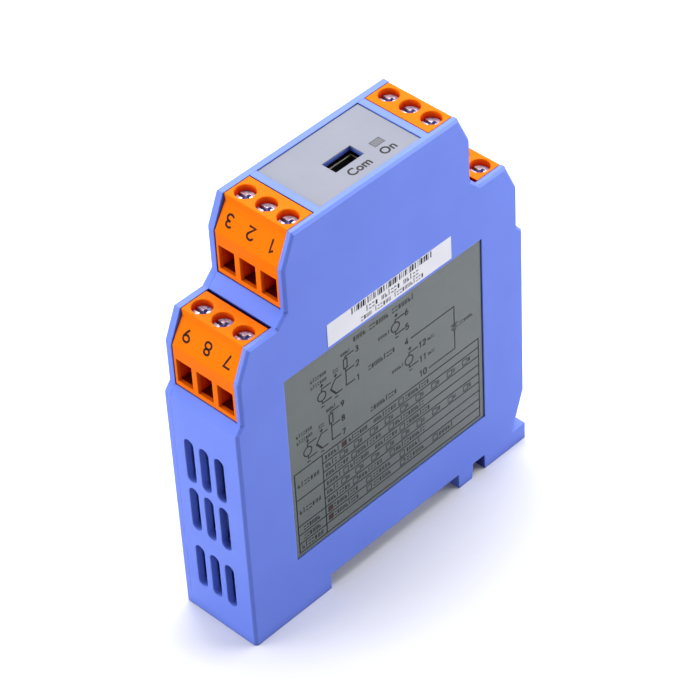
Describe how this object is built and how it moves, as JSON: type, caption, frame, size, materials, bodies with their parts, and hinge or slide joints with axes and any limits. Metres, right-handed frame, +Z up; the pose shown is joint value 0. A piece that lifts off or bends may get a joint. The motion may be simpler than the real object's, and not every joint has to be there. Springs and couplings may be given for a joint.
{
  "type": "signal isolator",
  "caption": "Narrow stepped rail-mount signal isolator in a blue vented housing, with orange plug-in screw terminals, a service port, a rail foot with latch and a board inside.",
  "frame": {"origin": "middle of the underside of the feet", "axes": "+Z up from the feet to the upper terminals, Y along the wires with the front at -Y, +X the side with the wiring label"},
  "size_m": [0.0186, 0.074, 0.088],
  "materials": {
    "blue_plastic": "moulded, fine satin",
    "orange_plastic": "moulded, satin",
    "grey_film": "printed film, matt",
    "label_film": "printed film, matt",
    "white_sticker": "printed label stock",
    "clear_plastic": "clear window",
    "led_plastic": "clear epoxy",
    "plated_steel": "nickel plated",
    "contact_brass": "tinned brass",
    "black_plastic": "moulded",
    "board": "solder mask",
    "ferrite": "ground ferrite",
    "copper": "enamelled wire",
    "can_aluminium": "drawn can"
  },
  "bodies": {
    "housing": {"housing_tub": "blue_plastic", "side_cover": "blue_plastic", "top_film": "grey_film", "wiring_label": "label_film", "bar_sticker": "white_sticker", "light_pipe": "clear_plastic", "status_led": "led_plastic", "port_shell": "plated_steel", "port_insert": "black_plastic", "circuit_board": "board", "transformer_core": "ferrite", "transformer_bobbin": "black_plastic", "transformer_winding": "copper", "optocouplers": "black_plastic", "capacitors": "can_aluminium", "power_inductor": "ferrite", "microcontroller": "black_plastic", "pin_header_upper_front": "black_plastic", "pin_header_lower_front": "black_plastic", "pin_header_upper_rear": "black_plastic", "pin_header_lower_rear": "black_plastic", "header_pins_upper_front": "contact_brass", "header_pins_lower_front": "contact_brass", "header_pins_upper_rear": "contact_brass", "header_pins_lower_rear": "contact_brass"},
    "plug_upper_front": {"terminal_plug_upper_front": "orange_plastic", "terminal_screws_upper_front": "plated_steel", "wire_clamps_upper_front": "plated_steel", "contact_sockets_upper_front": "contact_brass"},
    "plug_upper_rear": {"terminal_plug_upper_rear": "orange_plastic", "terminal_screws_upper_rear": "plated_steel", "wire_clamps_upper_rear": "plated_steel", "contact_sockets_upper_rear": "contact_brass"},
    "plug_lower_front": {"terminal_plug_lower_front": "orange_plastic", "terminal_screws_lower_front": "plated_steel", "wire_clamps_lower_front": "plated_steel", "contact_sockets_lower_front": "contact_brass"},
    "plug_lower_rear": {"terminal_plug_lower_rear": "orange_plastic", "terminal_screws_lower_rear": "plated_steel", "wire_clamps_lower_rear": "plated_steel", "contact_sockets_lower_rear": "contact_brass"},
    "latch": {"rail_latch": "blue_plastic"}
  },
  "joints": [
    {"name": "plug_upper_front_slide", "type": "slide", "parent": "housing", "child": "plug_upper_front", "axis": [0, -1, 0], "range_m": [0, 0.014]},
    {"name": "plug_upper_rear_slide", "type": "slide", "parent": "housing", "child": "plug_upper_rear", "axis": [0, 1, 0], "range_m": [0, 0.014]},
    {"name": "plug_lower_front_slide", "type": "slide", "parent": "housing", "child": "plug_lower_front", "axis": [0, -1, 0], "range_m": [0, 0.014]},
    {"name": "plug_lower_rear_slide", "type": "slide", "parent": "housing", "child": "plug_lower_rear", "axis": [0, 1, 0], "range_m": [0, 0.014]},
    {"name": "latch_slide", "type": "slide", "parent": "housing", "child": "latch", "axis": [0, 1, 0], "range_m": [0, 0.003]}
  ]
}
